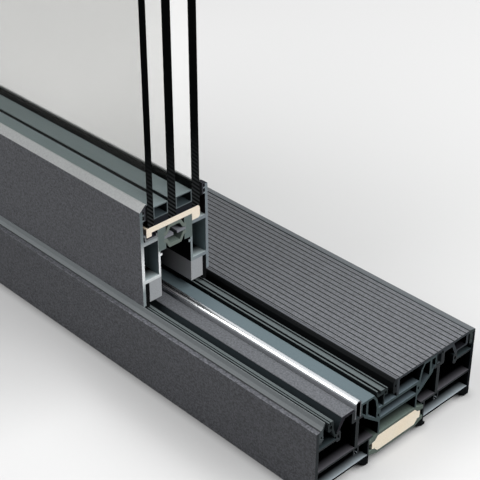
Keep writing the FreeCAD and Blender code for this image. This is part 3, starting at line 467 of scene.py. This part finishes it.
def deck_under(graph):
    """Painted shade under the deck: near black, and a little lighter on its floors near the sawn ends."""
    tone = graph.mix(graph.floors(), linear((9, 10, 11)), linear((30, 30, 34)))
    return graph.lit(tone, graph.hollow_shade(SILL_END, reach=0.0085))


def sash_inside(graph):
    """Pale chamber floors and teal-grey chamber walls that darken inwards as painted shade, and black
    painted shade in the channel and the glass rebate.
    """
    channel = graph.math("LESS_THAN", graph.across(), CHANNEL_HALF)
    open_side = graph.either(channel, graph.above(Z, REBATE_FLOOR))
    wall = graph.lit(linear((150, 164, 168)), graph.depth_shade(SASH_END, reach=0.012, deep=0.42))
    floor = graph.lit(linear((164, 176, 178)), graph.hollow_shade(SASH_END, reach=0.0115))
    return graph.mix(open_side, graph.mix(graph.floors(), wall, floor), linear((24, 23, 26)))


def sash_cut(graph):
    """Sawn metal in painted light and shade: lighter on the lower half, a painted highlight on the front's
    low webs, another tone at the rear, and greener and duller round the thermal bars.
    """
    low_half = graph.ramp(Z, 0.138, 0.1)
    web_highlight = graph.times(graph.ramp(Z, 0.124, 0.104), graph.ramp(Z, 0.078, 0.09))
    front, rear = graph.ramp(Y, -0.05, -0.06), graph.ramp(Y, -0.03, -0.02)
    metal = graph.mix(low_half, linear((104, 114, 117)), linear((142, 152, 155)))
    metal = graph.mix(graph.times(web_highlight, front), metal, linear((236, 240, 241)))
    metal = graph.mix(rear, metal, linear((128, 137, 143)))
    beside_bars = graph.times(graph.span(graph.across(), 0.0185, 0.0165),
                              graph.ramp(Z, BARS_UNDERSIDE - 0.001, BARS_UNDERSIDE + 0.001))
    return graph.mix(beside_bars, metal, linear((104, 116, 114)))


# Tones of the plastics, seals and spacers by place, with painted light and shade

def shaded_inwards(tone, end, reach):
    """A tone with painted shade that turns it near black inside the hollows."""
    return lambda graph: graph.lit(linear(tone), graph.hollow_shade(end, reach))


def bridge(graph):
    """Blue-grey on the open bridge; below it, bluish floors lit over dark chamber walls as painted light
    and shade, darkening inwards to near black.
    """
    chamber = graph.mix(graph.floors(), linear((34, 39, 43)), linear((100, 113, 120)))
    chamber = graph.lit(chamber, graph.hollow_shade(SILL_END, reach=0.0068))
    return graph.mix(graph.above(Z, BRIDGE_TOP), chamber, linear((88, 101, 106)))


def bridge_gloss(graph):
    """Faint gloss on the open bridge, none in the chambers below."""
    return graph.times(graph.ramp(Z, BRIDGE_TOP - 0.0002, BRIDGE_TOP), 0.2)


def spacer_tone(graph):
    """Chambers with lighter floors over dark walls as painted light and shade, under a grey lid that grows
    lighter inwards from painted shade at the sawn ends.
    """
    chamber = graph.mix(graph.floors(), linear((30, 34, 38)), linear((54, 63, 67)))
    lid = graph.lit(linear((112, 123, 125)), graph.depth_shade(SASH_END, reach=0.04, deep=1.4))
    return graph.mix(graph.above(Z, SPACER_LID), chamber, lid)


def skirt_side(graph):
    """Grey at the cut, with painted shade that turns it near black deeper in the channel."""
    return graph.lit(linear((190, 188, 190)), graph.depth_shade(SASH_END, reach=0.04, deep=0.02))


def crowned(graph, level, flank, crown):
    """A seal's crown, on the faces that look up above a level, and its flanks and grooves, darker as
    painted shade.
    """
    return graph.mix(graph.times(graph.floors(), graph.above(Z, level)), flank, crown)


def lobed_top(graph):
    """Grey lobes over flanks dark with painted shade."""
    return crowned(graph, LOBES_TOP - 0.0016, linear((30, 35, 37)), linear((80, 87, 88)))


def band_top(graph):
    """The ridged seal with painted shade: its band darkens towards the deck, and flanks and grooves are
    near black.
    """
    darker = graph.ramp(Y, BAND_REAR - 0.0057, BAND_REAR - 0.0017)
    last_ridge = graph.above(Y, BAND_REAR - 0.0015)
    band = graph.mix(darker, linear((84, 92, 93)), linear((62, 69, 70)))
    band = graph.mix(last_ridge, band, linear((74, 81, 82)))
    return crowned(graph, BAND_TOP - 0.0025, linear((16, 20, 22)), band)


def sill_seal_top(graph):
    """Grey, with a dark line where the seal leaves the shell."""
    return graph.mix(graph.below(Y, SEAL_FOOT), linear((106, 111, 113)), linear((34, 37, 38)))


def capped_seal(graph):
    """Black, with the grey cap that lies flush with the deck."""
    return graph.mix(graph.above(Z, CAP_UNDERSIDE), linear((16, 18, 19)), linear((90, 92, 96)))


# The pieces and their materials

def dress(material, *names):
    for name in names:
        for slot in nodes[name].material_slots:
            slot.material = material


dress(coated_metal("front_shell", COAT, shell_cut, shell_inside, outer_face, painted_light_on_tops),
      "front_frame_profile")
dress(coated_metal("rear_shell", COAT, rear_shell_cut, shell_inside, outer_face, painted_light_on_tops),
      "rear_frame_profile")
# The cover's inside tone (38, 44, 47) is a dark painted shade on its slopes and underside.
dress(coated_metal("cover_coat", DECK_COAT, (46, 45, 50), (38, 44, 47), cover_face, shade_towards_middle, mottle=0.6),
      "track_cover")
dress(coated_metal("deck_coat", DECK_COAT, (62, 66, 70), deck_under, deck_face, deck_painted_shade, gloss=0.5,
                   mottle=0.6),
      "deck_board")
dress(coated_metal("sash_coat", SASH_COAT, sash_cut, sash_inside, sash_face, mottle=0.75),
      "sash_front_profile", "sash_rear_profile")
dress(coated_metal("bead_coat", (158, 160, 160), (62, 63, 68), edge=(190, 190, 190), mottle=0.15),
      "front_glazing_bead", "rear_glazing_bead")
dress(drawn_steel("drawn_steel"), "running_rail")

dress(moulded("blue_grey_plastic", bridge, (68, 79, 81), bridge_gloss, roughness=0.45), "centre_profile")
dress(moulded("slot_plastic", (70, 76, 80), (42, 45, 47), gloss=0.1), "rail_slot_insert")
dress(moulded("foam_bar_polyamide", shaded_inwards((106, 120, 113), SILL_END, reach=0.0105), (96, 106, 100),
              gloss=0.1, speckle=0.14),
      "upper_foam_bar", "lower_foam_bar")
dress(moulded("thermal_bar_polyamide", shaded_inwards((106, 118, 112), SASH_END, reach=0.03), (111, 120, 114),
              gloss=0.1, speckle=0.14),
      "upper_thermal_bar", "lower_thermal_bar")
dress(moulded("beige_block", (238, 223, 200), (246, 234, 216), gloss=0.15, speckle=0.04, roughness=0.55),
      "glazing_block")
dress(moulded("skirt_plastic", skirt_side, (156, 159, 162), gloss=0.15, speckle=0.05),
      "front_skirt_block", "rear_skirt_block")
dress(moulded("fin_plastic", (112, 114, 120), (124, 126, 132), gloss=0.1, speckle=0.05),
      "front_insulation_fin", "rear_insulation_fin")
dress(moulded("clip_plastic", (58, 58, 66), (120, 124, 126), gloss=0.1, speckle=0.05), "block_clip")
dress(moulded("spacer_metal", spacer_tone, (92, 101, 104), gloss=0.2, speckle=0.05, roughness=0.4),
      "front_spacer", "rear_spacer")
dress(moulded("edge_sealant", (34, 36, 40), (34, 36, 40), gloss=0.1, speckle=0.1, roughness=0.6),
      "front_edge_sealant", "rear_edge_sealant")
dress(moulded("zinc_coat", (96, 98, 100), (90, 92, 94), gloss=0.15, roughness=0.4), "roller_carriages")
dress(foam("beige_foam", (241, 230, 210), (246, 237, 222)), "foam_core")

dress(rubber("grey_rubber", sill_seal_top, (70, 76, 78), gloss=0.25), "front_sill_seal")
dress(rubber("edge_rubber", (84, 88, 91), (60, 66, 66)), "rear_edge_seal")
dress(rubber("lobed_rubber", lobed_top, (46, 51, 52)), "front_track_gasket")
dress(rubber("ridged_rubber", band_top, (46, 52, 53)), "rear_track_gasket")
dress(rubber("capped_rubber", capped_seal, (40, 43, 45), gloss=0.03), "rear_sill_seal")
dress(rubber("black_rubber", (20, 22, 23), (18, 19, 20), gloss=0.15, speckle=0.12),
      "front_base_seal", "rear_base_seal", "front_inner_base_seal", "rear_inner_base_seal",
      "front_brush_seal", "rear_brush_seal", "front_glazing_gasket", "rear_glazing_gasket")
dress(pane("float_glass", tint=(243.8, 243.8, 243.4), shade=(226, 227, 226)),
      "front_pane", "middle_pane", "rear_pane")


# Floor, light and camera, in metres and degrees, with the lens in millimetres

FLOOR_REACH = 4.0
FLOOR_TONE = (207, 207, 207)
GLAZED_TONE = (236, 236, 236)
SHADE_TONE = (60, 60, 62)
CONTACT_REACH = 0.008
GLOW_FROM, GLOW_TO = 1.3, 3.6
GLOW = 0.72
WALL_COLOUR = (0.97, 0.985, 1.0, 1.0)
SKY_LIGHT = 0.03
LAMP_DISTANCE = 3.7
LAMP_TALL = 2.2
LAMP_AIM = Vector((0.2, 0.0, 0.03))
CAMERA_PLACE = (0.8523, -0.5923, 0.6379)
CAMERA_DIP = 31.999
CAMERA_TURN = 46.205
CAMERA_LENS = 97.76
CAMERA_NEAR = 0.01


def pale_floor():
    """Floor that keeps the shadow: near white to the eye, and a dull grey in the light it throws back.

    A painted contact shade darkens it close round what stands on it, and it is lighter through glass.
    Beyond the lamps' reach a glow that only the eye sees keeps it pale to its far edge.
    """
    mesh = bpy.data.meshes.new("floor")
    corners = [(x * FLOOR_REACH, y * FLOOR_REACH, 0) for x, y in ((-1, -1), (1, -1), (1, 1), (-1, 1))]
    mesh.from_pydata(corners, [], [(0, 1, 2, 3)])
    floor = bpy.data.objects.new("floor", mesh)
    bpy.context.scene.collection.objects.link(floor)
    graph = Surface("pale_floor")
    seen = graph.seen()
    through = graph.add("ShaderNodeLightPath").outputs["Is Transmission Ray"]
    tone = graph.mix(seen, linear(SHADE_TONE), linear(FLOOR_TONE))
    tone = graph.mix(through, tone, linear(GLAZED_TONE))
    grain = graph.span(graph.noise(220.0, 3.0), 0.2, 0.8, 0.995, 1.005)
    # Painted contact shade: ambient occlusion darkens the floor's tone next to the object.
    near = graph.add("ShaderNodeAmbientOcclusion", {"Distance": CONTACT_REACH}, samples=8).outputs["AO"]
    tone = graph.lit(tone, graph.times(grain, graph.math("POWER", near, 0.8)))
    away = graph.add("ShaderNodeVectorMath", {0: graph.coords}, operation="LENGTH").outputs["Value"]
    glow = graph.times(seen, graph.span(away, GLOW_FROM, GLOW_TO, 0.0, GLOW))
    mesh.materials.append(graph.finish(graph.shader(
        tone, 0.9, Specular_IOR_Level=0.0, Emission_Color=(1.0, 1.0, 1.0, 1.0), Emission_Strength=glow,
    )))


def studio_world():
    """Pale walls round the studio: dim as a light, full strength to the eye and in what reflects them."""
    world = bpy.data.worlds.new("studio")
    bpy.context.scene.world = world
    graph = Graph(world)
    strength = graph.span(graph.seen(), 0.0, 1.0, SKY_LIGHT, 1.0)
    walls = graph.add("ShaderNodeBackground", {"Color": WALL_COLOUR, "Strength": strength})
    graph.add("ShaderNodeOutputWorld", {"Surface": walls.outputs[0]})


def soft_box(name, azimuth, height, width, power):
    """Large lamp, placed by two angles in degrees, that looks at the middle of what the photo shows."""
    turn, rise = math.radians(azimuth), math.radians(height)
    data = bpy.data.lights.new(name, "AREA")
    data.shape = "RECTANGLE"
    data.size, data.size_y = width, LAMP_TALL
    data.energy = power
    light = bpy.data.objects.new(name, data)
    flat = math.cos(rise)
    towards = Vector((flat * math.cos(turn), flat * math.sin(turn), math.sin(rise)))
    light.location = LAMP_AIM + LAMP_DISTANCE * towards
    light.rotation_euler = (-towards).to_track_quat("-Z", "Y").to_euler()
    bpy.context.scene.collection.objects.link(light)


def photo_camera():
    """The camera of the photo, solved from its long straight edges."""
    data = bpy.data.cameras.new("photo_camera")
    data.sensor_width = 36.0
    data.lens = CAMERA_LENS
    data.clip_start = CAMERA_NEAR
    camera = bpy.data.objects.new("photo_camera", data)
    camera.location = CAMERA_PLACE
    camera.rotation_euler = (math.radians(90 - CAMERA_DIP), 0.0, math.radians(CAMERA_TURN))
    bpy.context.scene.collection.objects.link(camera)
    bpy.context.scene.camera = camera


pale_floor()
studio_world()
soft_box("key", azimuth=14, height=37, width=2.2, power=132.0)
soft_box("front", azimuth=-118, height=45, width=2.8, power=112.0)
soft_box("rear", azimuth=65, height=45, width=2.2, power=91.0)
photo_camera()
bpy.context.scene.view_settings.view_transform = "Standard"
